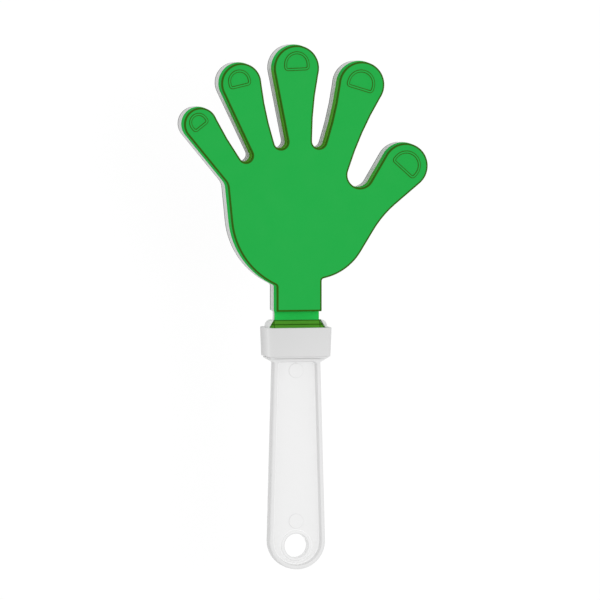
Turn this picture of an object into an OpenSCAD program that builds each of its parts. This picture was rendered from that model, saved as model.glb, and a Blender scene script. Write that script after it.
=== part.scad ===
// Hand clapper: two hollow hands swing on living hinges and clap against a third one on the handle.
// The clapper lies flat. X points to the thumb, Y from the butt to the fingertips, Z out of the front hand.
// The origin is the centre of the hang hole, half way through the handle.

/* [Stack] */
// Thickness of the middle hand
middle_t = 3; // [2.5:0.5:5]
// Thickness of the middle hand's inner panel
middle_panel_t = 1.4; // [1:0.1:2]
// Depth of an outer hand from its open rim to its face
hand_t = 7.5; // [6:0.5:8]
// Thickness of an outer hand's face
face_t = 1.4; // [1:0.1:2]
// Wall around each hand
wall = 1.5; // [1.2:0.1:2]
// How much wider than its face an outer hand is at its open rim
draft = 0.3; // [0.2:0.1:0.8]
// Rounding between the face and the side of an outer hand
face_edge_r = 0.5; // [0.2:0.1:0.8]
// Gap at rest between the middle hand and an outer hand
clap_gap = 0.3; // [0.2:0.1:1.2]

/* [Palm] */
// Palm centre above the lower end of the neck
palm_rise = 47.5; // [42.5:0.5:52.5]
// Palm radius on the thumb side
palm_thumb_r = 30.5; // [28.5:0.5:31.5]
// Sideways offset of the palm round on the thumb side
palm_thumb_x = 7.5; // [5.5:0.5:8.5]
// Palm radius on the little finger's side
palm_heel_r = 41.5; // [39.5:0.5:43.5]
// Sideways offset of the palm round on the little finger's side
palm_heel_x = 4.5; // [3:0.5:6]
// Upward offset of the palm round on the little finger's side
palm_heel_rise = 4.5; // [3:0.5:6]
// Half width of the neck at the face
neck_half = 12.2; // [11:0.1:12.6]
// Fillet between the neck and the palm
neck_fillet_r = 1.5; // [1.3:0.1:3]

/* [Thumb] */
// Tip's centre from the palm's centre
thumb_reach = 65; // [61:0.5:69]
// Direction of the tip from the palm's centre, from the thumb side towards the fingertips
thumb_angle = 27; // [26:0.5:30]
// Radius of the tip
thumb_r = 12.1; // [11.1:0.1:13.1]
// Direction in which the thumb points
thumb_points = 48; // [40:1:56]
// Width of the nail
thumb_nail_w = 15.5; // [12:0.5:17]
// Distance of the nail from the tip's centre, along the finger
thumb_nail_shift = 0.5; // [0:0.1:2]
// Distance of the nail from the finger's middle line, towards the little finger
thumb_nail_side = 0; // [-1:0.1:1]
// Radius of the hollow under the thumb
thumb_hollow_r = 56; // [54:1:57]
// Centre of the hollow under the thumb, from the palm's centre
thumb_hollow_reach = 94.5; // [93.5:0.5:96.5]
// Direction of the hollow under the thumb
thumb_hollow_angle = -21; // [-23:0.5:-19.5]
// Radius of the crotch between thumb and index finger
thumb_crotch_r = 6.9; // [5.9:0.1:7.9]
// Centre of that crotch from the palm's centre
thumb_crotch_reach = 41.5; // [39.5:0.5:43.5]
// Direction of that crotch
thumb_crotch_angle = 37; // [35.5:0.5:38.5]

/* [Fingers] */
// Radius of the long hollow sides of the fingers
finger_side_r = 175; // [125:5:225]

/* [Index finger] */
// Tip's centre from the palm's centre
index_reach = 80.5; // [76.5:0.5:84.5]
// Direction of the tip
index_angle = 65; // [62.5:0.5:67.5]
// Radius of the tip
index_r = 12.3; // [11.3:0.1:13.3]
// Direction in which the finger points
index_points = 73; // [66:1:80]
// Width of the nail
index_nail_w = 15; // [12:0.5:17]
// Distance of the nail from the tip's centre, along the finger
index_nail_shift = 0.4; // [-1:0.1:1.5]
// Distance of the nail from the finger's middle line, towards the little finger
index_nail_side = 0.6; // [-0.5:0.1:1.2]
// Radius of the crotch beside the middle finger
index_crotch_r = 3.8; // [3.2:0.1:4.4]
// Direction of that crotch
index_crotch_angle = 76; // [74.5:0.5:77.5]
// Centre of that crotch from the palm's centre
index_crotch_reach = 44.5; // [42.5:0.5:46.5]

/* [Middle finger] */
// Tip's centre from the palm's centre
middle_reach = 82; // [78:0.5:86]
// Direction of the tip
middle_angle = 91; // [89:0.5:93]
// Radius of the tip
middle_r = 12.2; // [11.2:0.1:13.2]
// Direction in which the finger points
middle_points = 92; // [87:1:99]
// Width of the nail
middle_nail_w = 13.5; // [11:0.5:16]
// Distance of the nail from the tip's centre, along the finger
middle_nail_shift = 2.2; // [1:0.1:2.6]
// Distance of the nail from the finger's middle line, towards the little finger
middle_nail_side = -0.1; // [-1:0.1:1]
// Radius of the crotch beside the ring finger
middle_crotch_r = 3.7; // [3.1:0.1:4.3]
// Direction of that crotch
middle_crotch_angle = 103; // [101.5:0.5:104.5]
// Centre of that crotch from the palm's centre
middle_crotch_reach = 44; // [42:0.5:46]

/* [Ring finger] */
// Tip's centre from the palm's centre
ring_reach = 80.5; // [76.5:0.5:84.5]
// Direction of the tip
ring_angle = 113; // [110.5:0.5:115.5]
// Radius of the tip
ring_r = 10.8; // [9.8:0.1:11.8]
// Direction in which the finger points
ring_points = 103; // [98:1:112]
// Width of the nail
ring_nail_w = 12; // [10:0.5:14]
// Distance of the nail from the tip's centre, along the finger
ring_nail_shift = 1.6; // [0.5:0.1:2.2]
// Distance of the nail from the finger's middle line, towards the little finger
ring_nail_side = 0.8; // [-0.5:0.1:1]
// Radius of the crotch beside the little finger
ring_crotch_r = 3.5; // [3:0.1:4]
// Direction of that crotch
ring_crotch_angle = 129; // [127.5:0.5:130.5]
// Centre of that crotch from the palm's centre
ring_crotch_reach = 46; // [44:0.5:48]

/* [Little finger] */
// Tip's centre from the palm's centre
little_reach = 75; // [71:0.5:79]
// Direction of the tip
little_angle = 135.5; // [133:0.5:138]
// Radius of the tip
little_r = 8.9; // [7.9:0.1:9.9]
// Direction in which the finger points
little_points = 128; // [122:1:136]
// Width of the nail
little_nail_w = 10; // [8:0.5:12]
// Distance of the nail from the tip's centre, along the finger
little_nail_shift = 1.6; // [0.5:0.1:1.8]
// Distance of the nail from the finger's middle line, towards the little finger
little_nail_side = 0.3; // [-0.5:0.1:1]
// Radius of the hollow between little finger and palm
heel_r = 7; // [6:0.5:8]
// Centre of that hollow from the palm's centre
heel_reach = 49; // [47.5:0.5:50.5]
// Direction of that hollow
heel_angle = 158.5; // [157:0.5:160]

/* [Nails] */
// Part of the nail below its round end
nail_root = 3.3; // [2.5:0.1:4]
// Rounding of the nail's two lower corners
nail_corner_r = 2; // [1.6:0.1:2.4]
// Width of the raised bead that draws a nail
bead_w = 1.3; // [0.8:0.1:1.5]
// Height of the bead
bead_h = 0.4; // [0.2:0.1:0.6]

/* [Hinge and root] */
// Thickness of the living hinge
hinge_t = 0.8; // [0.4:0.1:1]
// Length of the living hinge
hinge_l = 4.5; // [3:0.1:5]
// Thickness of the root
root_t = 7.4; // [6.5:0.1:8]
// Length of the root
root_l = 17; // [15:0.5:17]
// Half width of the root at the collar's upper edge
root_half = 15; // [14.4:0.1:15.2]
// How far the root shows above the collar
root_above = 3.9; // [3.5:0.1:4.6]
// Length of the lower slope on the root's upper end
root_slope_l = 2.2; // [1.8:0.1:2.4]
// Height of that slope
root_slope_h = 0.5; // [0.4:0.1:1.5]
// Length of the upper slope, which ends under the collar
root_upper_l = 9; // [7:0.5:10]
// Ledge between the two slopes
root_ledge = 0.5; // [0.3:0.1:0.8]
// Clearance under the root and around the head
fit = 0.1; // [0.05:0.05:0.2]
// Clearance beside the root
side_fit = 0.2; // [0.1:0.05:0.3]
// Clearance of the swinging neck between the head's two horns
neck_fit = 0.4; // [0.3:0.05:0.5]

/* [Collar and head] */
// Collar's lower edge above the hang hole
collar_y = 101.4; // [90:0.1:115]
// Length of the collar
collar_l = 15.5; // [14:0.5:18]
// Wall of the collar
collar_wall = 1.4; // [1:0.1:1.8]
// Rounding of the collar's long edges
collar_edge_r = 3; // [2:0.1:3.2]
// Half width of the head at the collar's upper edge
head_half = 16.3; // [16.1:0.1:17.5]
// How much narrower the head is on each side at the collar's lower edge
head_taper = 0.65; // [0.2:0.05:0.8]
// How far the head shows above the collar
head_above = 4; // [3.6:0.1:5]
// Thickness of the head's two horns above the collar
horn_t = 8; // [7:0.5:12]
// How far the head shows below the collar
head_below = 0.8; // [0.4:0.1:1.2]
// Rounding of the head's upper corners
head_corner_r = 3.5; // [2:0.5:3.5]
// Bevel along the head's long edges
head_bevel = 0.7; // [0.5:0.1:1]
// How far the snap shoulders stand out under the collar
snap_w = 1.4; // [0.7:0.1:1.4]
// Height of the snap shoulders' slope
snap_l = 3; // [2.5:0.1:4]

/* [Grip] */
// Thickness of the grip
grip_t = 9; // [7:0.5:11]
// Half width of the grip below the head
grip_half = 12.7; // [11.5:0.1:13.5]
// Radius of the butt
butt_r = 15.3; // [14:0.1:16.2]
// Centre of the butt's round above the hang hole
butt_rise = 2.7; // [1:0.1:5]
// Width of the grip's rim
rim_w = 2.1; // [1.6:0.1:3]
// Distance of the panel's upper end below the collar
panel_gap = 2.8; // [2.4:0.1:5]
// Thickness of the grip's panel
panel_t = 1.4; // [1:0.1:2]
// Rounding of the panel's upper corners
panel_corner_r = 2; // [1:0.5:4]
// Radius of the hang hole
hole_r = 6.4; // [4:0.1:7]
// Wall of the tube around the hang hole
hole_wall = 1.7; // [1.2:0.1:2]
// Radius of the two round pads on the panel
pad_r = 3.9; // [2:0.1:4.5]
// Height of the pads
pad_h = 0.3; // [0.1:0.1:0.6]
// Distance of the pads' centres from the ends of the panel's free length
pad_inset = 5; // [4.6:0.1:8]

/* [Hidden] */
// Largest turn of the outline between two points on a round
arc_step = 9;
// Rounding that keeps square corners from being knife sharp
corner_r = 0.4;
// Straight run between two rounds that would otherwise just touch
touch_run = 1.5;
// How far one solid reaches into another that it is one moulding with
bite = 1;

// Heights in the stack, from the middle plane
hand_z = middle_t / 2 + clap_gap;
face_z = hand_z + hand_t;
head_z = hand_z + root_t;
pocket_z = hand_z - fit;
collar_z = head_z + fit + collar_wall;

// Places along the clapper, from the hang hole
collar_top = collar_y + collar_l;
head_top = collar_top + head_above;
head_low = collar_y - head_below;
root_top = collar_top + root_above;
root_low = root_top - root_l;
hand_low = root_top + hinge_l;
neck_end = hand_low + draft;
palm_y = neck_end + palm_rise;
panel_top = collar_y - panel_gap;
snap_top = collar_y - fit;
snap_low = snap_top - snap_l;

// Widths, from the middle
rim_neck_half = neck_half + draft;
mouth_half = rim_neck_half + neck_fit;
hinge_half = rim_neck_half - corner_r;
taper_rate = head_taper / collar_l;
hole_tube_r = hole_r + hole_wall;

white = [0.93, 0.93, 0.92];
green = [0.15, 0.68, 0.29];

// Point at a distance and direction from the palm's centre
function spoke(reach, angle) = [reach * cos(angle), palm_y + reach * sin(angle)];

// One round of an outline: its centre, its radius and its side, 1 for outside rounds and -1 for hollows
function round_at(centre, r, side) = [centre.x, centre.y, r, side];

// Centre of the fillet between the neck's side at x and a palm round
function neck_fillet_y(x, palm, palm_r) =
    palm.y - sqrt(pow(palm_r + neck_fillet_r, 2) + pow(touch_run, 2) - pow(x - palm.x, 2));

// Hollow that runs from one round to another along the curved side of a finger
function side_hollow(a, b) =
    let (from_a = sqrt(pow(finger_side_r + a[3] * a[2], 2) + pow(touch_run, 2)),
         from_b = sqrt(pow(finger_side_r + b[3] * b[2], 2) + pow(touch_run, 2)),
         along = [b.x - a.x, b.y - a.y],
         length = norm(along),
         u = along / length,
         forward = (pow(length, 2) + pow(from_a, 2) - pow(from_b, 2)) / (2 * length),
         outward = sqrt(pow(from_a, 2) - pow(forward, 2)))
    round_at([a.x, a.y] + forward * u + outward * [u.y, -u.x], finger_side_r, -1);

// Outward normal of the straight run from one round to the next, for an outline that turns to the left
function run_normal(a, b) =
    let (along = [b.x - a.x, b.y - a.y],
         length = norm(along),
         u = along / length,
         k = (a[3] * a[2] - b[3] * b[2]) / length)
    k * u + sqrt(1 - k * k) * [u.y, -u.x];

// Points of one round between its two straight runs
function round_points(round, from, to) =
    let (side = round[3],
         start = atan2(from.y, from.x),
         turn = side * (atan2(to.y, to.x) - start),
         sweep = turn - 360 * floor(turn / 360),
         steps = max(1, ceil(sweep / arc_step)))
    [for (i = [0 : steps])
        let (angle = start + side * sweep * i / steps)
        [round.x, round.y] + side * round[2] * [cos(angle), sin(angle)]];

// Outline around a list of rounds, joined by straight runs that touch them
function outline(rounds) =
    let (n = len(rounds),
         normals = [for (i = [0 : n - 1]) run_normal(rounds[i], rounds[(i + 1) % n])])
    [for (i = [0 : n - 1]) each round_points(rounds[i], normals[(i + n - 1) % n], normals[i])];

// Rounds set off outwards by a distance
function grown(rounds, grow) = [for (c = rounds) [c.x, c.y, c[2] + c[3] * grow, c[3]]];

// Rounds of the hand above the neck, from the right fillet to the left one
function hand_rounds() =
    let (thumb_palm = [palm_thumb_x, palm_y],
         heel_palm = [palm_heel_x, palm_y + palm_heel_rise],
         fillet_x = neck_half + neck_fillet_r,
         thumb_crotch = round_at(spoke(thumb_crotch_reach, thumb_crotch_angle), thumb_crotch_r, -1),
         index = round_at(spoke(index_reach, index_angle), index_r, 1),
         index_crotch = round_at(spoke(index_crotch_reach, index_crotch_angle), index_crotch_r, -1),
         middle = round_at(spoke(middle_reach, middle_angle), middle_r, 1),
         middle_crotch = round_at(spoke(middle_crotch_reach, middle_crotch_angle), middle_crotch_r, -1),
         ring = round_at(spoke(ring_reach, ring_angle), ring_r, 1),
         ring_crotch = round_at(spoke(ring_crotch_reach, ring_crotch_angle), ring_crotch_r, -1),
         little = round_at(spoke(little_reach, little_angle), little_r, 1))
    [round_at([fillet_x, neck_fillet_y(fillet_x, thumb_palm, palm_thumb_r)], neck_fillet_r, -1),
     round_at(thumb_palm, palm_thumb_r, 1),
     round_at(spoke(thumb_hollow_reach, thumb_hollow_angle), thumb_hollow_r, -1),
     round_at(spoke(thumb_reach, thumb_angle), thumb_r, 1),
     thumb_crotch,
     side_hollow(thumb_crotch, index),
     index,
     side_hollow(index, index_crotch),
     index_crotch,
     side_hollow(index_crotch, middle),
     middle,
     middle_crotch,
     side_hollow(middle_crotch, ring),
     ring,
     ring_crotch,
     side_hollow(ring_crotch, little),
     little,
     round_at(spoke(heel_reach, heel_angle), heel_r, -1),
     round_at(heel_palm, palm_heel_r, 1),
     round_at([-fillet_x, neck_fillet_y(-fillet_x, heel_palm, palm_heel_r)], neck_fillet_r, -1)];

// Outline of a hand, set off outwards from the face's edge, with its neck cut square at low
function hand_outline(grow, low) =
    let (x = neck_half + grow - corner_r,
         y = low + corner_r)
    outline(concat([[x, y, corner_r, 1]], grown(hand_rounds(), grow), [[-x, y, corner_r, 1]]));

// Nail of a given width, its round end towards +Y
function nail_rounds(w) =
    let (x = w / 2 - nail_corner_r,
         y = nail_corner_r - nail_root)
    [[0, 0, w / 2, 1], [-x, y, nail_corner_r, 1], [x, y, nail_corner_r, 1]];

// Fingertips: reach, direction, where the finger points, width of the nail, its shift and its side
function fingertips() =
    [[thumb_reach, thumb_angle, thumb_points, thumb_nail_w, thumb_nail_shift, thumb_nail_side],
     [index_reach, index_angle, index_points, index_nail_w, index_nail_shift, index_nail_side],
     [middle_reach, middle_angle, middle_points, middle_nail_w, middle_nail_shift, middle_nail_side],
     [ring_reach, ring_angle, ring_points, ring_nail_w, ring_nail_shift, ring_nail_side],
     [little_reach, little_angle, little_points, little_nail_w, little_nail_shift, little_nail_side]];

// Half width of the head, which tapers towards the butt inside the collar
function head_half_at(y) = head_half + taper_rate * (y - collar_top);

// Rectangle with rounded corners, from its half sizes
function rounded_rectangle(half_x, half_y, r) =
    let (x = half_x - r,
         y = half_y - r)
    outline([[x, -y, r, 1], [x, y, r, 1], [-x, y, r, 1], [-x, -y, r, 1]]);

// Closed wall whose section runs from ring to ring and back to the first; all rings have as many points
module wall_through(rings) {
    n = len(rings[0]);
    count = len(rings);
    sides = [for (k = [0 : count - 1], i = [0 : n - 1])
        let (a = k * n + i,
             b = k * n + (i + 1) % n,
             above_a = (k + 1) % count * n + i,
             above_b = (k + 1) % count * n + (i + 1) % n)
        each [[a, above_a, above_b], [a, above_b, b]]];
    polyhedron([for (ring = rings) each ring], sides);
}

// Outline as a ring of points at one height
function ring_at(points, z) = [for (p = points) [p.x, p.y, z]];

// Section in X and Z, drawn along Y between two places
module along_y(y0, y1) {
    translate([0, y1, 0])
        rotate([90, 0, 0])
            linear_extrude(y1 - y0)
                children();
}

// Section in Y and Z, drawn along X to both sides of the middle
module across_x(half) {
    translate([-half, 0, 0])
        rotate([90, 0, 90])
            linear_extrude(2 * half)
                children();
}

// Flat shape centred on the middle plane
module slab(t) {
    translate([0, 0, -t / 2])
        linear_extrude(t)
            children();
}

// The two recesses that leave a panel in the middle of a plate
module recesses(plate_t, left_t) {
    depth = (plate_t - left_t) / 2;
    for (z = [left_t / 2, -plate_t / 2 - bite])
        translate([0, 0, z])
            linear_extrude(depth + bite)
                children();
}

// Wide section of the head in X and Z, with bevelled edges
module bevelled_section(grow) {
    x = head_half_at(head_top) + grow;
    z = head_z + grow;
    polygon([[x, -z + head_bevel], [x, z - head_bevel], [x - head_bevel, z], [-x + head_bevel, z],
             [-x, z - head_bevel], [-x, -z + head_bevel], [-x + head_bevel, -z], [x - head_bevel, -z]]);
}

// Grip plate with the snap shoulders under the collar
module grip_plate() {
    top_x = grip_half - corner_r;
    shoulder = head_half_at(collar_y) + snap_w;
    slab(grip_t) {
        polygon(outline([[0, butt_rise, butt_r, 1], [top_x, head_low + bite, corner_r, 1],
                         [-top_x, head_low + bite, corner_r, 1]]));
        polygon([[top_x, snap_low], [shoulder, snap_top - corner_r], [shoulder, snap_top],
                 [-shoulder, snap_top], [-shoulder, snap_top - corner_r], [-top_x, snap_low]]);
    }
}

// Panel of the grip inside its rim
module grip_panel_outline() {
    x = grip_half - rim_w - panel_corner_r;
    y = panel_top - panel_corner_r;
    polygon(outline([[0, butt_rise, butt_r - rim_w, 1], [x, y, panel_corner_r, 1],
                     [-x, y, panel_corner_r, 1]]));
}

// Tube around the hang hole and two round pads on the panel
module grip_bosses() {
    cylinder(h = grip_t, r = hole_tube_r, center = true, $fn = 96);
    for (y = [hole_tube_r + pad_inset, panel_top - pad_inset])
        translate([0, y, 0])
            cylinder(h = panel_t + 2 * pad_h, r = pad_r, center = true, $fn = 96);
}

// Head without its pockets, thinner above the collar
module head_block() {
    low_x = head_half_at(head_low) - corner_r;
    top_x = head_half_at(head_top - head_corner_r) - head_corner_r;
    difference() {
        intersection() {
            slab(2 * head_z)
                polygon(outline([[low_x, head_low + corner_r, corner_r, 1],
                                 [top_x, head_top - head_corner_r, head_corner_r, 1],
                                 [-top_x, head_top - head_corner_r, head_corner_r, 1],
                                 [-low_x, head_low + corner_r, corner_r, 1]]));
            along_y(head_low - bite, head_top + bite)
                bevelled_section(0);
        }
        recesses(2 * head_z, horn_t)
            translate([-head_half - bite, collar_top])
                square([2 * (head_half + bite), head_above + bite]);
    }
}

// Plan of a root, widest at the collar's upper edge; the pocket is the same plan with its clearances
module root_plan(gap, top_half, top) {
    x = root_half + gap;
    low = root_low - gap;
    low_x = x - taper_rate * (collar_top - low);
    polygon([[low_x, low], [x, collar_top], [top_half, root_top], [top_half, top],
             [-top_half, top], [-top_half, root_top], [-x, collar_top], [-low_x, low]]);
}

// White moulding: grip, head and middle hand
module handle_middle_hand() {
    color(white)
        difference() {
            union() {
                difference() {
                    grip_plate();
                    recesses(grip_t, panel_t)
                        grip_panel_outline();
                }
                grip_bosses();
                head_block();
                difference() {
                    slab(middle_t)
                        polygon(hand_outline(draft, head_top - bite));
                    recesses(middle_t, middle_panel_t)
                        polygon(hand_outline(draft - wall, head_top + wall));
                }
            }
            cylinder(h = grip_t + 2 * bite, r = hole_r, center = true, $fn = 96);
            for (side = [0, 1])
                mirror([0, 0, side])
                    translate([0, 0, pocket_z])
                        linear_extrude(head_z)
                            root_plan(side_fit, mouth_half, head_top + bite);
        }
}

// Half of the collar's outer block, leaning in by the head's taper
module leaning_half() {
    half = head_half_at(collar_y) + fit + collar_wall;
    intersection() {
        translate([half, collar_y, 0])
            rotate([0, 0, -atan(taper_rate)])
                along_y(-collar_l, 2 * collar_l)
                    translate([-half, 0])
                        polygon(rounded_rectangle(half, collar_z, collar_edge_r));
        translate([0, collar_y, -collar_z - bite])
            cube([2 * half, collar_l, 2 * (collar_z + bite)]);
    }
}

// White collar that shuts the head's two pockets
module collar() {
    low_x = head_half_at(collar_y - bite) + fit;
    top_x = head_half_at(collar_top + bite) + fit;
    color(white)
        difference() {
            union() {
                leaning_half();
                mirror([1, 0, 0])
                    leaning_half();
            }
            intersection() {
                slab(2 * (head_z + fit))
                    polygon([[low_x, collar_y - bite], [top_x, collar_top + bite],
                             [-top_x, collar_top + bite], [-low_x, collar_y - bite]]);
                along_y(collar_y - 2 * bite, collar_top + 2 * bite)
                    bevelled_section(fit);
            }
        }
}

// Dovetail root with two slopes up from the hinge
module root() {
    slope_y = root_top - root_slope_l;
    slope_z = hand_z + hinge_t + root_slope_h;
    intersection() {
        translate([0, 0, hand_z])
            linear_extrude(root_t)
                root_plan(0, mouth_half - neck_fit, root_top);
        across_x(root_half + bite)
            polygon([[root_low, hand_z], [root_top, hand_z], [root_top, hand_z + hinge_t],
                     [slope_y, slope_z], [slope_y - root_ledge, slope_z],
                     [slope_y - root_ledge - root_upper_l, head_z], [root_low, head_z]]);
    }
}

// Thin strip that bends when the hand swings
module hinge_web() {
    slant = draft * hinge_t / hand_t;
    across_x(hinge_half)
        polygon([[root_top, hand_z], [hand_low, hand_z], [hand_low + slant, hand_z + hinge_t],
                 [root_top, hand_z + hinge_t]]);
}

// Bead that draws one nail
module nail_bead(w) {
    rounds = nail_rounds(w);
    linear_extrude(face_t / 2 + bead_h)
        difference() {
            polygon(outline(rounds));
            polygon(outline(grown(rounds, -bead_w)));
        }
}

// Hollow hand with drafted walls, a rounded face edge and the nail beads
module hollow_hand() {
    edge_z = face_z - face_edge_r;
    edge_grow = draft * face_edge_r / hand_t;
    inner_top = face_z - face_t;
    inner_grow = draft * face_t / hand_t - wall;
    half_edge = face_edge_r * (1 - cos(45));
    wall_through([ring_at(hand_outline(inner_grow, neck_end - inner_grow), inner_top),
                  ring_at(hand_outline(draft - wall, hand_low + wall), hand_z),
                  ring_at(hand_outline(draft, hand_low), hand_z),
                  ring_at(hand_outline(edge_grow, neck_end - edge_grow), edge_z),
                  ring_at(hand_outline(-half_edge, neck_end + half_edge), face_z - half_edge),
                  ring_at(hand_outline(-face_edge_r, neck_end + face_edge_r), face_z)]);
    translate([0, 0, inner_top])
        linear_extrude(face_t)
            polygon(hand_outline(-face_edge_r, neck_end + face_edge_r));
    for (tip = fingertips())
        translate(concat(spoke(tip[0], tip[1]), face_z - face_t / 2))
            rotate([0, 0, tip[2] - 90])
                translate([-tip[5], tip[4], 0])
                    nail_bead(tip[3]);
}

module front_root() {
    color(green * 0.9)
        root();
}

module front_hinge_web() {
    color(green)
        hinge_web();
}

module front_hand() {
    color(green)
        hollow_hand();
}

module rear_root() {
    color(white)
        mirror([0, 0, 1])
            root();
}

module rear_hinge_web() {
    color(white)
        mirror([0, 0, 1])
            hinge_web();
}

module rear_hand() {
    color(white)
        mirror([0, 0, 1])
            hollow_hand();
}

handle_middle_hand();
collar();
front_root();
front_hinge_web();
front_hand();
rear_root();
rear_hinge_web();
rear_hand();
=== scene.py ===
# Hand clapper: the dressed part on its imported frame. Lengths are in mm here, and the meshes are in metres.
import bpy
import bmesh
import math
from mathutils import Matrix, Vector


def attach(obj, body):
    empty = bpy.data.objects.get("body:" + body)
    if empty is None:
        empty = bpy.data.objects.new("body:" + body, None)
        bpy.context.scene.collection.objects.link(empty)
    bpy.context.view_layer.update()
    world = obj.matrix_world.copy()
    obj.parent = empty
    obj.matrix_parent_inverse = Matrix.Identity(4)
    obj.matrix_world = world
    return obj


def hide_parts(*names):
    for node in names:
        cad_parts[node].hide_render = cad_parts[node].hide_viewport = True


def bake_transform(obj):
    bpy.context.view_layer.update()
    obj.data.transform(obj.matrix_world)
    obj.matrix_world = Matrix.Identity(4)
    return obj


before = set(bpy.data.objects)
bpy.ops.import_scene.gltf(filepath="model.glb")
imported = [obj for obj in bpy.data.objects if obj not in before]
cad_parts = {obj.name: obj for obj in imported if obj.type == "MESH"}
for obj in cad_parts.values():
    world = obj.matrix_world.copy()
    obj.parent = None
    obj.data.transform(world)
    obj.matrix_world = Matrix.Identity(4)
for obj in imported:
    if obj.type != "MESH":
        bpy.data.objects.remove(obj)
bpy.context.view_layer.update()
MM = 0.001

# Sizes repeated from part.scad
MIDDLE_T, MIDDLE_PANEL_T = 3.0, 1.4
HAND_T, FACE_T, WALL, DRAFT, EDGE_R, CLAP_GAP = 7.5, 1.4, 1.5, 0.3, 0.5, 0.3
NECK_HALF, NECK_FILLET_R, TOUCH_RUN, CORNER_R = 12.2, 1.5, 1.5, 0.4
HINGE_T, HINGE_L = 0.8, 4.5
ROOT_T, ROOT_L, ROOT_HALF, ROOT_ABOVE = 7.4, 17.0, 15.0, 3.9
SLOPE_L, SLOPE_H, LEDGE, UPPER_L = 2.2, 0.5, 0.5, 9.0
FIT, SIDE_FIT, NECK_FIT = 0.1, 0.2, 0.4
COLLAR_Y, COLLAR_L, COLLAR_WALL, COLLAR_EDGE_R = 101.4, 15.5, 1.4, 3.0
HEAD_HALF, HEAD_TAPER, HEAD_ABOVE, HEAD_BELOW, HEAD_CORNER_R, HORN_T = 16.3, 0.65, 4.0, 0.8, 3.5, 8.0
SNAP_W, SNAP_L = 1.4, 3.0
GRIP_T, GRIP_HALF, BUTT_R, BUTT_RISE, RIM_W = 9.0, 12.7, 15.3, 2.7, 2.1
PANEL_GAP, PANEL_T, PANEL_CORNER_R = 2.8, 1.4, 2.0
HOLE_R, HOLE_WALL, PAD_R, PAD_H, PAD_INSET = 6.4, 1.7, 3.9, 0.3, 5.0
NAIL_ROOT, NAIL_CORNER_R, BEAD_W, BEAD_H = 3.3, 2.0, 1.3, 0.4
PALM_RISE, PALM_THUMB_X, PALM_THUMB_R = 47.5, 7.5, 30.5
PALM_HEEL_X, PALM_HEEL_RISE, PALM_HEEL_R = 4.5, 4.5, 41.5

HAND_Z = MIDDLE_T / 2 + CLAP_GAP
FACE_Z = HAND_Z + HAND_T
HEAD_Z = HAND_Z + ROOT_T
POCKET_Z = HAND_Z - FIT
COLLAR_Z = HEAD_Z + FIT + COLLAR_WALL
COLLAR_TOP = COLLAR_Y + COLLAR_L
HEAD_TOP = COLLAR_TOP + HEAD_ABOVE
HEAD_LOW = COLLAR_Y - HEAD_BELOW
ROOT_TOP = COLLAR_TOP + ROOT_ABOVE
ROOT_LOW = ROOT_TOP - ROOT_L
HAND_LOW = ROOT_TOP + HINGE_L
NECK_END = HAND_LOW + DRAFT
PALM_Y = NECK_END + PALM_RISE
PANEL_TOP = COLLAR_Y - PANEL_GAP
SNAP_TOP = COLLAR_Y - FIT
SNAP_LOW = SNAP_TOP - SNAP_L
RIM_NECK_HALF = NECK_HALF + DRAFT
MOUTH_HALF = RIM_NECK_HALF + NECK_FIT
HINGE_HALF = RIM_NECK_HALF - CORNER_R
TAPER_RATE = HEAD_TAPER / COLLAR_L
TUBE_R = HOLE_R + HOLE_WALL
# Widths of the dark line beside a hand's rounded edge, on its face and on its side; on the rear hand this
# line is painted shade
FACE_BAND, SIDE_BAND = 0.42, 0.7

# Fingertips: reach and direction from the palm, radius, pointing direction, nail width, shift and side shift
TIPS = {
    "thumb": (65.0, 27.0, 12.1, 48.0, 15.5, 0.5, 0.0),
    "index": (80.5, 65.0, 12.3, 73.0, 15.0, 0.4, 0.6),
    "middle": (82.0, 91.0, 12.2, 92.0, 13.5, 2.2, -0.1),
    "ring": (80.5, 113.0, 10.8, 103.0, 12.0, 1.6, 0.8),
    "little": (75.0, 135.5, 8.9, 128.0, 10.0, 1.6, 0.3),
}
# Hollows between the fingers and beside the palm: reach and direction from the palm, radius
HOLLOWS = {
    "under_thumb": (94.5, -21.0, 56.0),
    "thumb_index": (41.5, 37.0, 6.9),
    "index_middle": (44.5, 76.0, 3.8),
    "middle_ring": (44.0, 103.0, 3.7),
    "ring_little": (46.0, 129.0, 3.5),
    "heel": (49.0, 158.5, 7.0),
}
FINGER_SIDE_R = 175.0


# Outlines: rounds with a centre, a radius and a side, joined by straight runs that touch them
def spoke(reach, angle):
    turn = math.radians(angle)
    return reach * math.cos(turn), PALM_Y + reach * math.sin(turn)


def run_normal(a, b):
    length = math.hypot(b[0] - a[0], b[1] - a[1])
    ux, uy = (b[0] - a[0]) / length, (b[1] - a[1]) / length
    k = (a[3] * a[2] - b[3] * b[2]) / length
    h = math.sqrt(max(0.0, 1 - k * k))
    return k * ux + h * uy, k * uy - h * ux


def outline(rounds, step=4.0):
    count = len(rounds)
    normals = [run_normal(rounds[i], rounds[(i + 1) % count]) for i in range(count)]
    points = []
    for i, (x, y, r, side) in enumerate(rounds):
        start = math.atan2(normals[i - 1][1], normals[i - 1][0])
        sweep = side * (math.atan2(normals[i][1], normals[i][0]) - start) % (2 * math.pi)
        steps = max(1, math.ceil(sweep / math.radians(step)))
        for j in range(steps + 1):
            turn = start + side * sweep * j / steps
            points.append((x + side * r * math.cos(turn), y + side * r * math.sin(turn)))
    return points


def grown(rounds, grow):
    return [(x, y, r + side * grow, side) for x, y, r, side in rounds]


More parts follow.
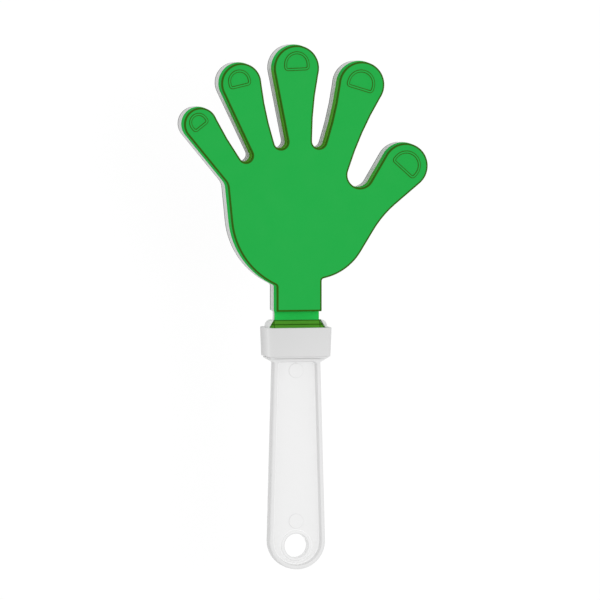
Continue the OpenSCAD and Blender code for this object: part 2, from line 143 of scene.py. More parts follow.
def side_hollow(a, b):
    from_a = math.hypot(FINGER_SIDE_R + a[3] * a[2], TOUCH_RUN)
    from_b = math.hypot(FINGER_SIDE_R + b[3] * b[2], TOUCH_RUN)
    length = math.hypot(b[0] - a[0], b[1] - a[1])
    ux, uy = (b[0] - a[0]) / length, (b[1] - a[1]) / length
    forward = (length ** 2 + from_a ** 2 - from_b ** 2) / (2 * length)
    outward = math.sqrt(from_a ** 2 - forward ** 2)
    return a[0] + forward * ux + outward * uy, a[1] + forward * uy - outward * ux, FINGER_SIDE_R, -1


def hand_rounds():
    thumb_palm = (PALM_THUMB_X, PALM_Y, PALM_THUMB_R, 1)
    heel_palm = (PALM_HEEL_X, PALM_Y + PALM_HEEL_RISE, PALM_HEEL_R, 1)
    fillet_x = NECK_HALF + NECK_FILLET_R

    def fillet(x, palm):
        reach = (palm[2] + NECK_FILLET_R) ** 2 + TOUCH_RUN ** 2 - (x - palm[0]) ** 2
        return x, palm[1] - math.sqrt(reach), NECK_FILLET_R, -1

    thumb, index, middle, ring, little = [(*spoke(*tip[:2]), tip[2], 1) for tip in TIPS.values()]
    hollows = [(*spoke(*hollow[:2]), hollow[2], -1) for hollow in HOLLOWS.values()]
    under, crotch_1, crotch_2, crotch_3, crotch_4, heel = hollows
    return [fillet(fillet_x, thumb_palm), thumb_palm, under, thumb, crotch_1,
            side_hollow(crotch_1, index), index, side_hollow(index, crotch_2), crotch_2,
            side_hollow(crotch_2, middle), middle, crotch_3,
            side_hollow(crotch_3, ring), ring, crotch_4, side_hollow(crotch_4, little), little, heel,
            heel_palm, fillet(-fillet_x, heel_palm)]


def hand_outline(grow, low=None):
    low = NECK_END - grow if low is None else low
    x, y = NECK_HALF + grow - CORNER_R, low + CORNER_R
    return outline([(x, y, CORNER_R, 1)] + grown(hand_rounds(), grow) + [(-x, y, CORNER_R, 1)])


def nail_outline(name, grow):
    reach, angle, _, points, width, shift, side = TIPS[name]
    x, y = width / 2 - NAIL_CORNER_R, NAIL_CORNER_R - NAIL_ROOT
    rounds = [(0, 0, width / 2, 1), (-x, y, NAIL_CORNER_R, 1), (x, y, NAIL_CORNER_R, 1)]
    cx, cy = spoke(reach, angle)
    turn = math.radians(points - 90)
    c, s = math.cos(turn), math.sin(turn)
    return [(cx + c * (px - side) - s * (py + shift), cy + s * (px - side) + c * (py + shift))
            for px, py in outline(grown(rounds, grow), 8.0)]


def rounded_rectangle(half_x, half_y, r, step):
    x, y = half_x - r, half_y - r
    return outline([(x, -y, r, 1), (x, y, r, 1), (-x, y, r, 1), (-x, -y, r, 1)], step)


def circle(r, cy=0.0, count=96):
    turns = [2 * math.pi * i / count for i in range(count)]
    return [(r * math.cos(turn), cy + r * math.sin(turn)) for turn in turns]


def head_half_at(y):
    return HEAD_HALF + TAPER_RATE * (y - COLLAR_TOP)


def shut_in(points):
    """For each point of an outline: 0 where its outer side is open, up to 1 where another side is close;
    this sets the painted shade between the fingers.
    """
    reach, least, span, leans = 30.0, 0.6, 3, (-50, -25, 0, 25, 50)
    open_share, ramp = 0.3, 0.3
    count = len(points)
    segments = [(points[i], points[(i + 1) % count]) for i in range(count)]
    values = []
    for i in range(count):
        before, after = points[i - span], points[(i + span) % count]
        turn = math.atan2(before[0] - after[0], after[1] - before[1])
        total = 0.0
        for lean in leans:
            dx, dy = math.cos(turn + math.radians(lean)), math.sin(turn + math.radians(lean))
            near = reach
            for (ax, ay), (bx, by) in segments:
                across = dx * (by - ay) - dy * (bx - ax)
                if abs(across) < 1e-9:
                    continue
                wx, wy = ax - points[i][0], ay - points[i][1]
                along = (wx * (by - ay) - wy * (bx - ax)) / across
                part = (wx * dy - wy * dx) / across
                if least < along < near and 0 <= part <= 1:
                    near = along
            total += 1 - near / reach
        values.append(min(1.0, max(0.0, (total / len(leans) - open_share) / ramp)))
    return values


# Meshes built from rings of points
class Shell:
    def __init__(self):
        self.bm = bmesh.new()
        self.layer = self.bm.verts.layers.float.new("shade")

    def ring(self, points, z):
        return self.points([(x, y, z) for x, y in points])

    def across(self, points, y):
        return self.points([(x, y, z) for x, z in points])

    def points(self, places):
        return [self.bm.verts.new((x * MM, y * MM, z * MM)) for x, y, z in places]

    def shade(self, ring, values):
        for vert, value in zip(ring, values):
            vert[self.layer] = value

    def skin(self, a, b, material):
        for i in range(len(a)):
            j = (i + 1) % len(a)
            face = self.bm.faces.new((a[i], a[j], b[j], b[i]))
            face.material_index = material

    def through(self, rings, materials=None):
        for i in range(len(rings) - 1):
            self.skin(rings[i], rings[i + 1], materials[i] if materials else 0)

    def cap(self, ring, material=0):
        self.bm.faces.new(ring).material_index = material

    def block(self, rings):
        self.through(rings)
        self.cap(rings[0])
        self.cap(rings[-1])

    def fill(self, loops, material=0):
        edges = []
        for loop in loops:
            for i in range(len(loop)):
                pair = (loop[i - 1], loop[i])
                edges.append(self.bm.edges.get(pair) or self.bm.edges.new(pair))
        made = bmesh.ops.triangle_fill(self.bm, use_beauty=True, use_dissolve=False, edges=edges)
        for item in made["geom"]:
            if isinstance(item, bmesh.types.BMFace):
                item.material_index = material

    def build(self, name, materials, flip=False):
        if flip:
            for vert in self.bm.verts:
                vert.co.z = -vert.co.z
        bmesh.ops.recalc_face_normals(self.bm, faces=self.bm.faces)
        if self.bm.calc_volume(signed=True) < 0:
            bmesh.ops.reverse_faces(self.bm, faces=self.bm.faces)
        mesh = bpy.data.meshes.new(name)
        self.bm.to_mesh(mesh)
        self.bm.free()
        for material in materials:
            mesh.materials.append(material)
        smooth(mesh)
        piece = bpy.data.objects.new(name, mesh)
        bpy.context.scene.collection.objects.link(piece)
        return piece


def smooth(mesh):
    sharp_angle = 32
    mesh.polygons.foreach_set("use_smooth", [True] * len(mesh.polygons))
    mesh.set_sharp_from_angle(angle=math.radians(sharp_angle))


def boolean(piece, other, operation):
    step = piece.modifiers.new("cut", "BOOLEAN")
    step.object, step.operation, step.solver = other, operation, "EXACT"
    depsgraph = bpy.context.evaluated_depsgraph_get()
    old, mesh = piece.data, bpy.data.meshes.new_from_object(piece.evaluated_get(depsgraph))
    piece.modifiers.remove(step)
    piece.data = mesh
    mesh.name = old.name
    bpy.data.meshes.remove(old)
    bpy.data.meshes.remove(other.data)
    smooth(mesh)


def quarter(radius, count):
    """Steps of a rounded edge: how far it goes in, and how far it has come up."""
    turns = [math.pi / 2 * i / count for i in range(count + 1)]
    return [(radius * (1 - math.cos(t)), radius * math.sin(t)) for t in turns]


# Materials: moulded plastic with faint flow marks, uneven sheen and a fine grain
def plastic(name, colour, deep, rough, gloss, shade=None):
    material = bpy.data.materials.new(name)
    material.use_nodes = True
    nodes, links = material.node_tree.nodes, material.node_tree.links
    shader = nodes["Principled BSDF"]
    shader.inputs["Specular IOR Level"].default_value = gloss
    where = nodes.new("ShaderNodeTexCoord")

    def noise(scale, detail, roughness=0.5):
        node = nodes.new("ShaderNodeTexNoise")
        node.inputs["Scale"].default_value = scale
        node.inputs["Detail"].default_value = detail
        node.inputs["Roughness"].default_value = roughness
        links.new(where.outputs["Object"], node.inputs["Vector"])
        return node.outputs["Fac"]

    noise_low, noise_high = 0.3, 0.7
    flow = nodes.new("ShaderNodeValToRGB")
    flow.color_ramp.elements[0].position = noise_low
    flow.color_ramp.elements[1].position = noise_high
    flow.color_ramp.elements[0].color = (*deep, 1)
    flow.color_ramp.elements[1].color = (*colour, 1)
    links.new(noise(scale=28, detail=4), flow.inputs["Fac"])
    links.new(flow.outputs["Color"], shader.inputs["Base Color"])
    if shade:
        # A second colour mixed in by each point's shade attribute: painted shade on the hands' sides,
        # painted light and shade on the collar
        depth = nodes.new("ShaderNodeAttribute")
        depth.attribute_name = "shade"
        blend = nodes.new("ShaderNodeMix")
        blend.data_type = "RGBA"
        factor, plain, shaded, result = 0, 6, 7, 2
        blend.inputs[shaded].default_value = (*shade, 1)
        links.new(depth.outputs["Fac"], blend.inputs[factor])
        links.new(flow.outputs["Color"], blend.inputs[plain])
        links.new(blend.outputs[result], shader.inputs["Base Color"])

    sheen = nodes.new("ShaderNodeMapRange")
    sheen.inputs["From Min"].default_value = noise_low
    sheen.inputs["From Max"].default_value = noise_high
    sheen.inputs["To Min"].default_value = rough - 0.05
    sheen.inputs["To Max"].default_value = rough + 0.06
    links.new(noise(scale=90, detail=5, roughness=0.6), sheen.inputs["Value"])
    links.new(sheen.outputs["Result"], shader.inputs["Roughness"])

    skin = nodes.new("ShaderNodeBump")
    skin.inputs["Strength"].default_value = 0.25
    skin.inputs["Distance"].default_value = 0.00006
    links.new(noise(scale=2600, detail=2), skin.inputs["Height"])
    wave = nodes.new("ShaderNodeBump")
    wave.inputs["Strength"].default_value = 0.12
    wave.inputs["Distance"].default_value = 0.0004
    links.new(noise(scale=60, detail=1), wave.inputs["Height"])
    links.new(skin.outputs["Normal"], wave.inputs["Normal"])
    links.new(wave.outputs["Normal"], shader.inputs["Normal"])
    return material


def grey(level):
    return level, level, level


green = plastic("hand_green", (0.0105, 0.418, 0.06), (0.0105, 0.412, 0.059), 0.55, 0.12)
# Front hand's sides: lighter than the face as painted light, and olive as painted shade where they are shut
# in between the fingers
green_lit_and_shaded_side = plastic("hand_green_lit_and_shaded_side", (0.026, 0.5, 0.08), (0.025, 0.49, 0.078), 0.6, 0.0,
                     shade=(0.15, 0.48, 0.045))
green_edge = plastic("hand_green_edge", (0.032, 0.128, 0.005), (0.03, 0.12, 0.005), 0.6, 0.04)
# Root: a darker olive green as painted shade under the collar
green_shaded_root = plastic("hand_green_shaded_root", (0.1, 0.38, 0.03), (0.096, 0.37, 0.029), 0.6, 0.05)
# Hinge strip: lighter than the face green as painted light against the shade between the root and the hand
green_lit_strip = plastic("hand_green_lit_strip", (0.014, 0.62, 0.09), (0.014, 0.61, 0.088), 0.55, 0.12)
green_line = plastic("hand_green_line", (0.038, 0.16, 0.008), (0.036, 0.15, 0.008), 0.6, 0.06)
white = plastic("handle_white", grey(0.82), grey(0.81), 0.45, 0.2)
# Painted shade on the handle's outer sides
white_shaded_side = plastic("handle_white_shaded_side", grey(0.77), grey(0.76), 0.45, 0.2)
# Painted light on the panel, lighter than the rim against the shade beside the rims
white_lit_panel = plastic("handle_white_lit_panel", grey(0.9), grey(0.89), 0.45, 0.2)
# Painted shade: darker lines in the recess walls, round the pads and at the edge of the hole
white_shade_line = plastic("handle_white_shade_line", grey(0.82), grey(0.81), 0.5, 0.2)
# Painted light on the foot of the recess walls, the hole's tube and the bore
white_lit_wall = plastic("handle_white_lit_wall", grey(0.97), grey(0.96), 0.45, 0.2)
# Collar: a grey lightened by the shade attribute as painted light and shade, brightest as a painted
# highlight on the front left round
collar_white = plastic("collar_white", grey(0.63), grey(0.62), 0.42, 0.2, shade=grey(0.9))
hand_white = plastic("hand_white", grey(0.75), grey(0.74), 0.45, 0.2)
# Rear hand's sides: painted shade that darkens them towards the face
hand_white_shaded_side = plastic("hand_white_shaded_side", grey(0.75), grey(0.74), 0.5, 0.1, shade=grey(0.12))
# Rear hand's rounded edges and nail lines: a painted dark shade line
hand_white_shaded_edge = plastic("hand_white_shaded_edge", grey(0.06), grey(0.057), 0.5, 0.05)


# Hollow hand: from its inner ceiling to the open rim, up the outside and over the edge to the face
def hand_shell(name, flip, materials):
    body, edge, line, side = range(4)
    ceiling_r, rim_r, rim_bevel, rim_lean, margin = 0.5, 0.25, 0.2, 0.02, 0.2
    shell = Shell()
    inner_top = FACE_Z - FACE_T
    ceiling = DRAFT * FACE_T / HAND_T - WALL
    rim = DRAFT - WALL
    profile = [(ceiling - ceiling_r - margin, inner_top, body)]
    for inset, up in reversed(quarter(ceiling_r, 3)):
        profile.append((ceiling - inset, inner_top - ceiling_r + up, body))
    profile += [(rim - rim_lean, HAND_Z + rim_bevel, body), (rim + rim_bevel, HAND_Z, body),
                (DRAFT - rim_r, HAND_Z, body)]
    outside = len(profile)
    for inset, up in reversed(quarter(rim_r, 2)[:-1]):
        profile.append((DRAFT - inset, HAND_Z + rim_r - up, side))
    for down in (HAND_T / 2, EDGE_R + SIDE_BAND + margin, EDGE_R + SIDE_BAND):
        profile.append((DRAFT * down / HAND_T, FACE_Z - down, side))
    side_end = len(profile) + 1
    top = DRAFT * EDGE_R / HAND_T
    for inset, up in quarter(EDGE_R, 4):
        profile.append((top - inset, FACE_Z - EDGE_R + up, edge))
    profile.append((top - EDGE_R - FACE_BAND, FACE_Z, edge))
    rings = [shell.ring(hand_outline(grow), z) for grow, z, _ in profile]
    # Painted shade on the sides: between the fingers on the front hand, and towards the face on the rear
    # hand
    closed = shut_in(hand_outline(DRAFT))
    for ring, (_, z, _) in zip(rings[outside:side_end], profile[outside:side_end]):
        depth = min(1.0, max(0.0, (z - HAND_Z - HAND_T / 2) / (HAND_T / 2 - EDGE_R - SIDE_BAND)))
        shell.shade(ring, [depth] * len(ring) if flip else closed)
    shell.through(rings, [material for _, _, material in profile[1:]])
    shell.cap(rings[0])
    # Nails: each a raised bead with soft sides
    foot, lean, knee, shoulder = 0.14, 0.08, 0.22, 0.3
    bead = [(foot, 0.0, body), (0.0, 0.0, line), (-lean, knee, line), (-shoulder, BEAD_H, line),
            (shoulder - BEAD_W, BEAD_H, body), (lean - BEAD_W, knee, line), (-BEAD_W, 0.0, line),
            (-BEAD_W - foot, 0.0, line)]
    holes = [rings[-1]]
    for tip in TIPS:
        loops = [shell.ring(nail_outline(tip, grow), FACE_Z + up) for grow, up, _ in bead]
        shell.through(loops, [material for _, _, material in bead[1:]])
        shell.cap(loops[-1])
        holes.append(loops[0])
    shell.fill(holes)
    return shell.build(name, materials, flip)


# Hinge strip: it reaches a little way into the root and into the hand's end wall
def hinge_strip(name, flip, materials):
    shell = Shell()
    into_root, into_hand, edge_r, corner_step, count = 0.4, 0.6, 0.25, 22.5, 20
    low, high = ROOT_TOP - into_root, HAND_LOW + into_hand
    section = rounded_rectangle(HINGE_HALF, HINGE_T / 2, edge_r, corner_step)
    rings = []
    for i in range(count + 1):
        y = low + (high - low) * i / count
        rings.append(shell.across([(x, z + HAND_Z + HINGE_T / 2) for x, z in section], y))
    shell.block(rings)
    return shell.build(name, materials, flip)


# Dovetail root: sections across it, from the deep end to the hinge
def root_wedge(name, flip, materials):
    body, edge = 0, 1
    shell = Shell()
    slope_y = ROOT_TOP - SLOPE_L
    slope_z = HAND_Z + HINGE_T + SLOPE_H
    ledge_y = slope_y - LEDGE
    flat_y = ledge_y - UPPER_L
    top_half = MOUTH_HALF - NECK_FIT
    bevel, lip, ridge_half, ridge_in, side_drop, side_least = 0.35, 0.5, 12.4, 0.25, 0.9, 0.3
    round_x, round_z = 0.2, 0.1

    def plan(y):
        if y < COLLAR_TOP:
            return ROOT_HALF - TAPER_RATE * (COLLAR_TOP - y)
        return ROOT_HALF + (top_half - ROOT_HALF) * (y - COLLAR_TOP) / (ROOT_TOP - COLLAR_TOP)

    def height(y):
        if y <= flat_y:
            return HEAD_Z
        if y <= ledge_y:
            return HEAD_Z + (slope_z - HEAD_Z) * (y - flat_y) / UPPER_L
        if y <= slope_y:
            return slope_z
        return slope_z - SLOPE_H * (y - slope_y) / SLOPE_L

    stations = [(ROOT_LOW, -bevel), (ROOT_LOW + bevel, 0), (flat_y, 0), (COLLAR_TOP, 0), (ledge_y, 0),
                (slope_y, 0), (ROOT_TOP - lip, 0), (ROOT_TOP, 0)]
    # Dark lines: the ledge, the lip at the hinge and the two upper edges
    dark_runs, dark_edges = (4, 6), (2, 4)
    rings = []
    for y, inset in stations:
        low_x, high_z = plan(y) + inset, height(y) + inset
        high_x = min(low_x - ridge_in, ridge_half)
        low_z = max(HAND_Z + side_least, high_z - side_drop)
        right = [(low_x, HAND_Z), (low_x, low_z),
                 (high_x + round_x, high_z - round_z), (high_x - round_x, high_z)]
        rings.append(shell.across(right + [(-x, z) for x, z in reversed(right)], y))
    for i in range(len(rings) - 1):
        for j in range(len(rings[i])):
            k = (j + 1) % len(rings[i])
            face = shell.bm.faces.new((rings[i][j], rings[i][k], rings[i + 1][k], rings[i + 1][j]))
            face.material_index = edge if i in dark_runs or j in dark_edges else body
    shell.cap(rings[0])
    shell.cap(rings[-1])
    return shell.build(name, materials, flip)


# Collar: rounded tube that narrows towards the butt
def collar_ring(name, materials):
    shell = Shell()
    outer, inner = [], []
    corner_steps = 10
    # Painted light and shade at four points of each round, from the right back by the front to the left back
    corners = ((0.26, 0.25, 0.25, 0.24), (0.28, 0.34, 0.38, 0.31),
               (0.22, 0.4, 0.9, 0.75), (0.05, 0.1, 0.2, 0.26))
    # Painted shade inside, painted light growing towards the lower edge, and a lowering for all
    inside, lower_gain, base = 0.26, 0.1, 0.04

    def shades(y):
        values = []
        for corner in corners:
            for i in range(corner_steps + 1):
                third = min(2, i * 3 // corner_steps)
                part = i * 3 / corner_steps - third
                values.append(corner[third] * (1 - part) + corner[third + 1] * part)
        return [value + lower_gain * (COLLAR_TOP - y) / COLLAR_L - base for value in values]

    # Rounded ends outside and bevelled ends inside: how far along the collar, and how far in or out
    ends = ((0.0, 0.4), (0.12, 0.12), (0.4, 0.0), (0.6, 0.0))
    bevel, inner_r, step = 0.15, 1.0, 90 / corner_steps
    stations = [(COLLAR_Y + along, inset) for along, inset in ends]
    stations += [(COLLAR_TOP - along, inset) for along, inset in reversed(ends)]
    for y, inset in stations:
        half = head_half_at(y) + FIT + COLLAR_WALL - inset
        section = rounded_rectangle(half, COLLAR_Z - inset, COLLAR_EDGE_R - inset, step)
        outer.append(shell.across(section, y))
        shell.shade(outer[-1], shades(y))
    for y, out in ((COLLAR_TOP, bevel), (COLLAR_TOP - bevel, 0.0),
                   (COLLAR_Y + bevel, 0.0), (COLLAR_Y, bevel)):
        section = rounded_rectangle(head_half_at(y) + FIT + out, HEAD_Z + FIT + out, inner_r, step)
        inner.append(shell.across(section, y))
        shell.shade(inner[-1], [inside] * len(inner[-1]))
    shell.through(outer + inner + [outer[0]])
    return shell.build(name, materials)


# Rim on one face of a plate: the rounded outer edge, and a little way in over the rim
def rim_half(shell, outer, half_t, draft, edge_r, sign):
    margin = 0.1
    rings = []
    for inset, up in quarter(edge_r, 3):
        rings.append(shell.ring(outer(-draft - inset), sign * (half_t - edge_r + up)))
    rings.append(shell.ring(outer(-draft - edge_r - margin), sign * half_t))
    return rings


# Recess in one face: from the edge of the rim down to the panel
def recess_half(shell, panel, half_t, panel_half, draft, sign):
    edge_r, foot_r, edge_margin, foot_margin = 0.25, 0.4, 0.1, 0.3
    rings = [shell.ring(panel(edge_r + edge_margin), sign * half_t)]
    for inset, up in reversed(quarter(edge_r, 2)):
        rings.append(shell.ring(panel(inset), sign * (half_t - edge_r + up)))
    for inset, up in quarter(foot_r, 3):
        rings.append(shell.ring(panel(-draft - inset), sign * (panel_half + foot_r - up)))
    rings.append(shell.ring(panel(-draft - foot_r - foot_margin), sign * panel_half))
    return rings


# Handle: grip, head and middle hand as one moulding
def handle_body(name, materials):
    # Finishes: rim, middle hand, painted shade on the sides, painted light on the panel, painted shade
    # lines, painted light on the walls
    rim_white, hand, side, flat, line, wall = range(6)
    corner_r, grip_draft, grip_edge_r, recess_draft, low_lip = 1.5, 0.12, 0.9, 0.3, 0.8
    x, y = GRIP_HALF - corner_r, SNAP_TOP - corner_r
    grip_rounds = [(0, BUTT_RISE, BUTT_R, 1), (x, y, corner_r, 1), (-x, y, corner_r, 1)]
    px, py = GRIP_HALF - RIM_W - PANEL_CORNER_R, PANEL_TOP - PANEL_CORNER_R
    panel_rounds = [(0, BUTT_RISE, BUTT_R - RIM_W, 1), (px, py, PANEL_CORNER_R, 1),
                    (-px, py, PANEL_CORNER_R, 1)]

    def grip_outline(grow):
        return outline(grown(grip_rounds, grow))

    def panel_outline(grow):
        return outline(grown(panel_rounds, grow))

    half_t, panel_half = GRIP_T / 2, PANEL_T / 2
    shell = Shell()
    middle = shell.ring(grip_outline(0), 0)
    bore = shell.ring(circle(HOLE_R), 0)
    for sign in (1, -1):
        rim = rim_half(shell, grip_outline, half_t, grip_draft, grip_edge_r, sign)
        shell.through([middle] + rim, [side] + [rim_white] * 4)
        recess = recess_half(shell, panel_outline, half_t, panel_half, recess_draft, sign)
        shell.through(recess, [rim_white] * 3 + [line] * 3 + [wall] * 2)
        shell.fill([rim[-1], recess[0]], rim_white)
        # The hole's wall: a low lip on the front and as high as the rim on the back, with rounded corners
        lip = panel_half + low_lip if sign > 0 else half_t
        outside = ((0.6, panel_half), (0.5, panel_half), (0.2, panel_half + 0.12), (0.1, panel_half + 0.3),
                   (0.0, lip - 0.3), (-0.09, lip - 0.09), (-0.3, lip), (-0.4, lip))
        inside = ((0.55, lip), (0.25, lip), (0.07, lip - 0.07), (0.0, lip - 0.25))
        tube = [shell.ring(circle(TUBE_R + grow), sign * z) for grow, z in outside]
        tube += [shell.ring(circle(HOLE_R + grow), sign * z) for grow, z in inside]
        # Painted light on the tube's foot and the bore, painted shade at the bore's rounded edge
        shell.through(tube + [bore], [wall] * 4 + [flat] * 4 + [line] * 3 + [wall])
        # Two round pads on the panel
        holes = [recess[-1], tube[0]]
        for y in (TUBE_R + PAD_INSET, PANEL_TOP - PAD_INSET):
            steps = ((0.12, 0.0), (0.04, 0.0), (0.0, PAD_H - 0.12), (-0.12, PAD_H), (-0.22, PAD_H))
            pad = [shell.ring(circle(PAD_R + grow, y, 64), sign * (panel_half + up)) for grow, up in steps]
            # A painted shade line round each pad
            shell.through(pad, [line] * 3 + [flat])
            shell.cap(pad[-1], flat)
            holes.append(pad[0])
        shell.fill(holes, flat)
    grip = shell.build(name, materials)

    # Plates with soft edges: the snap shoulders, the thick head in the collar and the thinner horns above it
    snap_bite, snap_drop, snap_edge_r, head_edge_r, horn_bite = 1.2, 0.25, 0.3, 0.35, 5

    def plate(rounds, half_z, edge_r):
        steps = [(-inset, half_z - edge_r + up) for inset, up in quarter(edge_r, 3)]
        steps = [(grow, -z) for grow, z in reversed(steps)] + steps
        shell = Shell()
        shell.block([shell.ring(outline(grown(rounds, grow)), z) for grow, z in steps])
        boolean(grip, shell.build("plate", materials), "UNION")

    def head(low, top, top_r, half_z):
        low_x = head_half_at(low) - CORNER_R
        top_x = head_half_at(top - top_r) - top_r
        plate([(low_x, low + CORNER_R, CORNER_R, 1), (top_x, top - top_r, top_r, 1),
               (-top_x, top - top_r, top_r, 1), (-low_x, low + CORNER_R, CORNER_R, 1)], half_z, head_edge_r)

    inner, tip = GRIP_HALF - snap_bite, head_half_at(COLLAR_Y) + SNAP_W - CORNER_R
    low, top = SNAP_LOW - snap_drop, SNAP_TOP - CORNER_R
    for corners in ([(inner, low), (tip, top), (inner, top)], [(-inner, low), (-inner, top), (-tip, top)]):
        plate([(x, y, CORNER_R, 1) for x, y in corners], GRIP_T / 2, snap_edge_r)
    head(HEAD_LOW, COLLAR_TOP, CORNER_R, HEAD_Z)
    head(COLLAR_TOP - horn_bite, HEAD_TOP, HEAD_CORNER_R, HORN_T / 2)

    # Middle hand, whose neck starts inside the head
    neck_bite, middle_draft, middle_edge_r, middle_recess_draft = 1, 0.08, 0.4, 0.1

    def middle_rim(grow):
        return hand_outline(DRAFT + grow, HEAD_TOP - neck_bite)

    def middle_recess(grow):
        return hand_outline(DRAFT - WALL + grow, HEAD_TOP + WALL - grow)

    half_t, panel_half = MIDDLE_T / 2, MIDDLE_PANEL_T / 2
    shell = Shell()
    middle = shell.ring(middle_rim(0), 0)
    for sign in (1, -1):
        rim = rim_half(shell, middle_rim, half_t, middle_draft, middle_edge_r, sign)
        shell.through([middle] + rim, [hand] * len(rim))
        recess = recess_half(shell, middle_recess, half_t, panel_half, middle_recess_draft, sign)
        shell.through(recess, [hand] * (len(recess) - 1))
        shell.fill([rim[-1], recess[0]], hand)
        shell.cap(recess[-1], hand)
    boolean(grip, shell.build("middle_hand", materials), "UNION")

    # Cuts in both faces: the pockets for the roots, and a groove across the rim under the head
    def cut(name, plan, low_z, high_z):
        for sign in (1, -1):
            shell = Shell()
            shell.block([shell.ring(plan, sign * low_z), shell.ring(plan, sign * high_z)])
            boolean(grip, shell.build(name, materials), "DIFFERENCE")

    past_face, past_top = 1, 2
    x, low, top = ROOT_HALF + SIDE_FIT, ROOT_LOW - SIDE_FIT, HEAD_TOP + past_top
    low_x = x - TAPER_RATE * (COLLAR_TOP - low)
    pocket = [(low_x, low), (x, COLLAR_TOP), (MOUTH_HALF, ROOT_TOP), (MOUTH_HALF, top),
              (-MOUTH_HALF, top), (-MOUTH_HALF, ROOT_TOP), (-x, COLLAR_TOP), (-low_x, low)]
    cut("pocket", pocket, POCKET_Z, HEAD_Z + past_face)
    groove_in, groove_w, groove_depth = 0.3, 0.45, 1.2
    x, low = GRIP_HALF - groove_in, HEAD_LOW - groove_w
    groove = [(-x, low), (x, low), (x, HEAD_LOW), (-x, HEAD_LOW)]
    cut("groove", groove, GRIP_T / 2 - groove_depth, GRIP_T / 2 + past_face)
    return grip


# Pieces
def place(piece, body, node, slot):
    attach(piece, body)
    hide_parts(node)


# Handle: painted shade on the sides and lines, painted light on the panel and walls
handle_finish = [white, hand_white, white_shaded_side, white_lit_panel, white_shade_line, white_lit_wall]
# Front hand: painted light and shade on the sides, painted shade on the root, painted light on the hinge
# strip
front_finish = (green, green_edge, green_line, green_shaded_root, green_lit_strip, green_lit_and_shaded_side)
# Rear hand: painted shade on its edges, nail lines and sides
rear_finish = (hand_white, hand_white_shaded_edge, hand_white_shaded_edge, hand_white, hand_white, hand_white_shaded_side)
place(handle_body("handle_body", handle_finish), "handle", "handle_middle_hand", "handle_white")
place(collar_ring("collar_ring", [collar_white]), "handle", "collar", "collar_white")
for side, flip, finish in (("front", False, front_finish), ("rear", True, rear_finish)):
    slot = "hand_white" if flip else "hand_green"
    body, edge, line, root, bend, wall = finish
    hand = hand_shell(side + "_hand_shell", flip, [body, edge, line, wall])
    place(hand, side + "_hand", side + "_hand", slot)
    place(root_wedge(side + "_root_wedge", flip, [root, edge]), "handle", side + "_root", slot)
    strip = hinge_strip(side + "_hinge_strip", flip, [bend])
    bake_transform(strip)
    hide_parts(side + "_hinge_web")


# Stage, in metres: a white floor, far enough down for the rear hand's swing, and soft light from all round
FLOOR_Z, FLOOR_HALF, FLOOR_SHADED, FLOOR_GLOW, FILL_LEVEL = -0.14, 3.0, 0.16, 0.865, 0.8


def seen_directly(nodes, links):
    """1 for camera, glossy and transmitted rays, and 0 for the rays that light the part."""
    path = nodes.new("ShaderNodeLightPath")
    first = nodes.new("ShaderNodeMath")
    second = nodes.new("ShaderNodeMath")
    first.operation = second.operation = "MAXIMUM"
    links.new(path.outputs["Is Camera Ray"], first.inputs[0])
    links.new(path.outputs["Is Glossy Ray"], first.inputs[1])
    links.new(first.outputs["Value"], second.inputs[0])
    links.new(path.outputs["Is Transmission Ray"], second.inputs[1])
    return second.outputs["Value"]


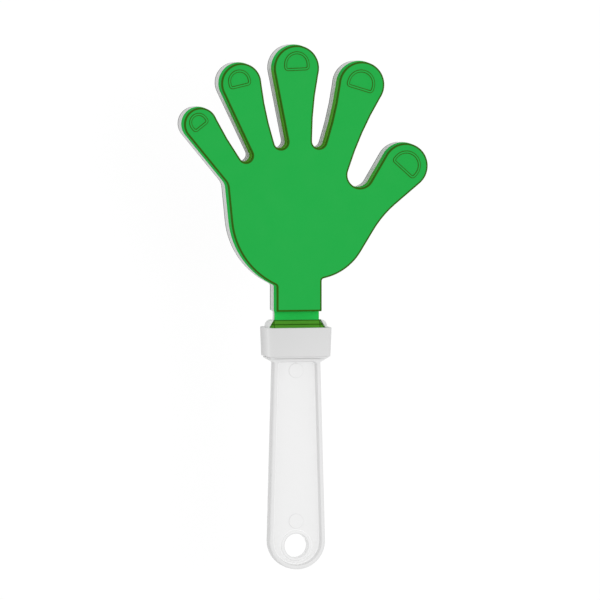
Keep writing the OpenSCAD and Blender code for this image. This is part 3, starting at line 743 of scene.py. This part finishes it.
def make_floor():
    mesh = bpy.data.meshes.new("floor")
    signs = ((-1, -1), (1, -1), (1, 1), (-1, 1))
    corners = [(x * FLOOR_HALF, y * FLOOR_HALF, FLOOR_Z) for x, y in signs]
    mesh.from_pydata(corners, [], [(0, 1, 2, 3)])
    material = bpy.data.materials.new("floor")
    material.use_nodes = True
    nodes, links = material.node_tree.nodes, material.node_tree.links
    nodes.remove(nodes["Principled BSDF"])
    # Seen directly it is white and keeps the shadow, and otherwise it glows like the sky
    paper = nodes.new("ShaderNodeEmission")
    paper.inputs["Color"].default_value = (*grey(FILL_LEVEL), 1)
    shaded = nodes.new("ShaderNodeBsdfDiffuse")
    shaded.inputs["Color"].default_value = (*grey(FLOOR_SHADED), 1)
    glow = nodes.new("ShaderNodeEmission")
    glow.inputs["Color"].default_value = (*grey(FLOOR_GLOW), 1)
    both = nodes.new("ShaderNodeAddShader")
    links.new(shaded.outputs["BSDF"], both.inputs[0])
    links.new(glow.outputs["Emission"], both.inputs[1])
    either = nodes.new("ShaderNodeMixShader")
    links.new(seen_directly(nodes, links), either.inputs[0])
    links.new(paper.outputs["Emission"], either.inputs[1])
    links.new(both.outputs["Shader"], either.inputs[2])
    links.new(either.outputs["Shader"], nodes["Material Output"].inputs["Surface"])
    mesh.materials.append(material)
    floor = bpy.data.objects.new("floor", mesh)
    bpy.context.scene.collection.objects.link(floor)


def make_world():
    world = bpy.data.worlds.new("studio")
    world.use_nodes = True
    nodes, links = world.node_tree.nodes, world.node_tree.links
    sky = nodes["Background"]
    level = nodes.new("ShaderNodeMapRange")
    level.inputs["To Min"].default_value = FILL_LEVEL
    level.inputs["To Max"].default_value = 1.0
    links.new(seen_directly(nodes, links), level.inputs["Value"])
    sky.inputs["Color"].default_value = (1, 1, 1, 1)
    links.new(level.outputs["Result"], sky.inputs["Strength"])
    bpy.context.scene.world = world


def lamp(name, place, target, size, energy):
    data = bpy.data.lights.new(name, "AREA")
    data.shape, data.size, data.energy = "DISK", size, energy
    light = bpy.data.objects.new(name, data)
    bpy.context.scene.collection.objects.link(light)
    light.location = place
    away = light.location - Vector(target)
    light.rotation_euler = away.to_track_quat("Z", "Y").to_euler()


make_floor()
make_world()
lamp("key", place=(0.27, 0.35, 1.7), target=(0, 0.13, 0), size=0.7, energy=5.6)

# Camera at the photograph's angle: 12 degrees round to the left and a little towards the fingertips
yaw, pitch, distance = math.radians(12), math.radians(3.2), 6.0
target_x, target_y = 0.0023, 0.1312
half_frame_px, focal_px = 300, 11253
camera_data = bpy.data.cameras.new("camera")
camera_data.angle = 2 * math.atan(half_frame_px / focal_px)
camera = bpy.data.objects.new("camera", camera_data)
bpy.context.scene.collection.objects.link(camera)
away = distance * math.cos(pitch)
camera.location = (target_x - away * math.sin(yaw),
                   target_y + distance * math.sin(pitch),
                   away * math.cos(yaw))
camera.rotation_euler = (-pitch, -yaw, 0)
bpy.context.scene.camera = camera
bpy.context.scene.view_settings.view_transform = "Standard"
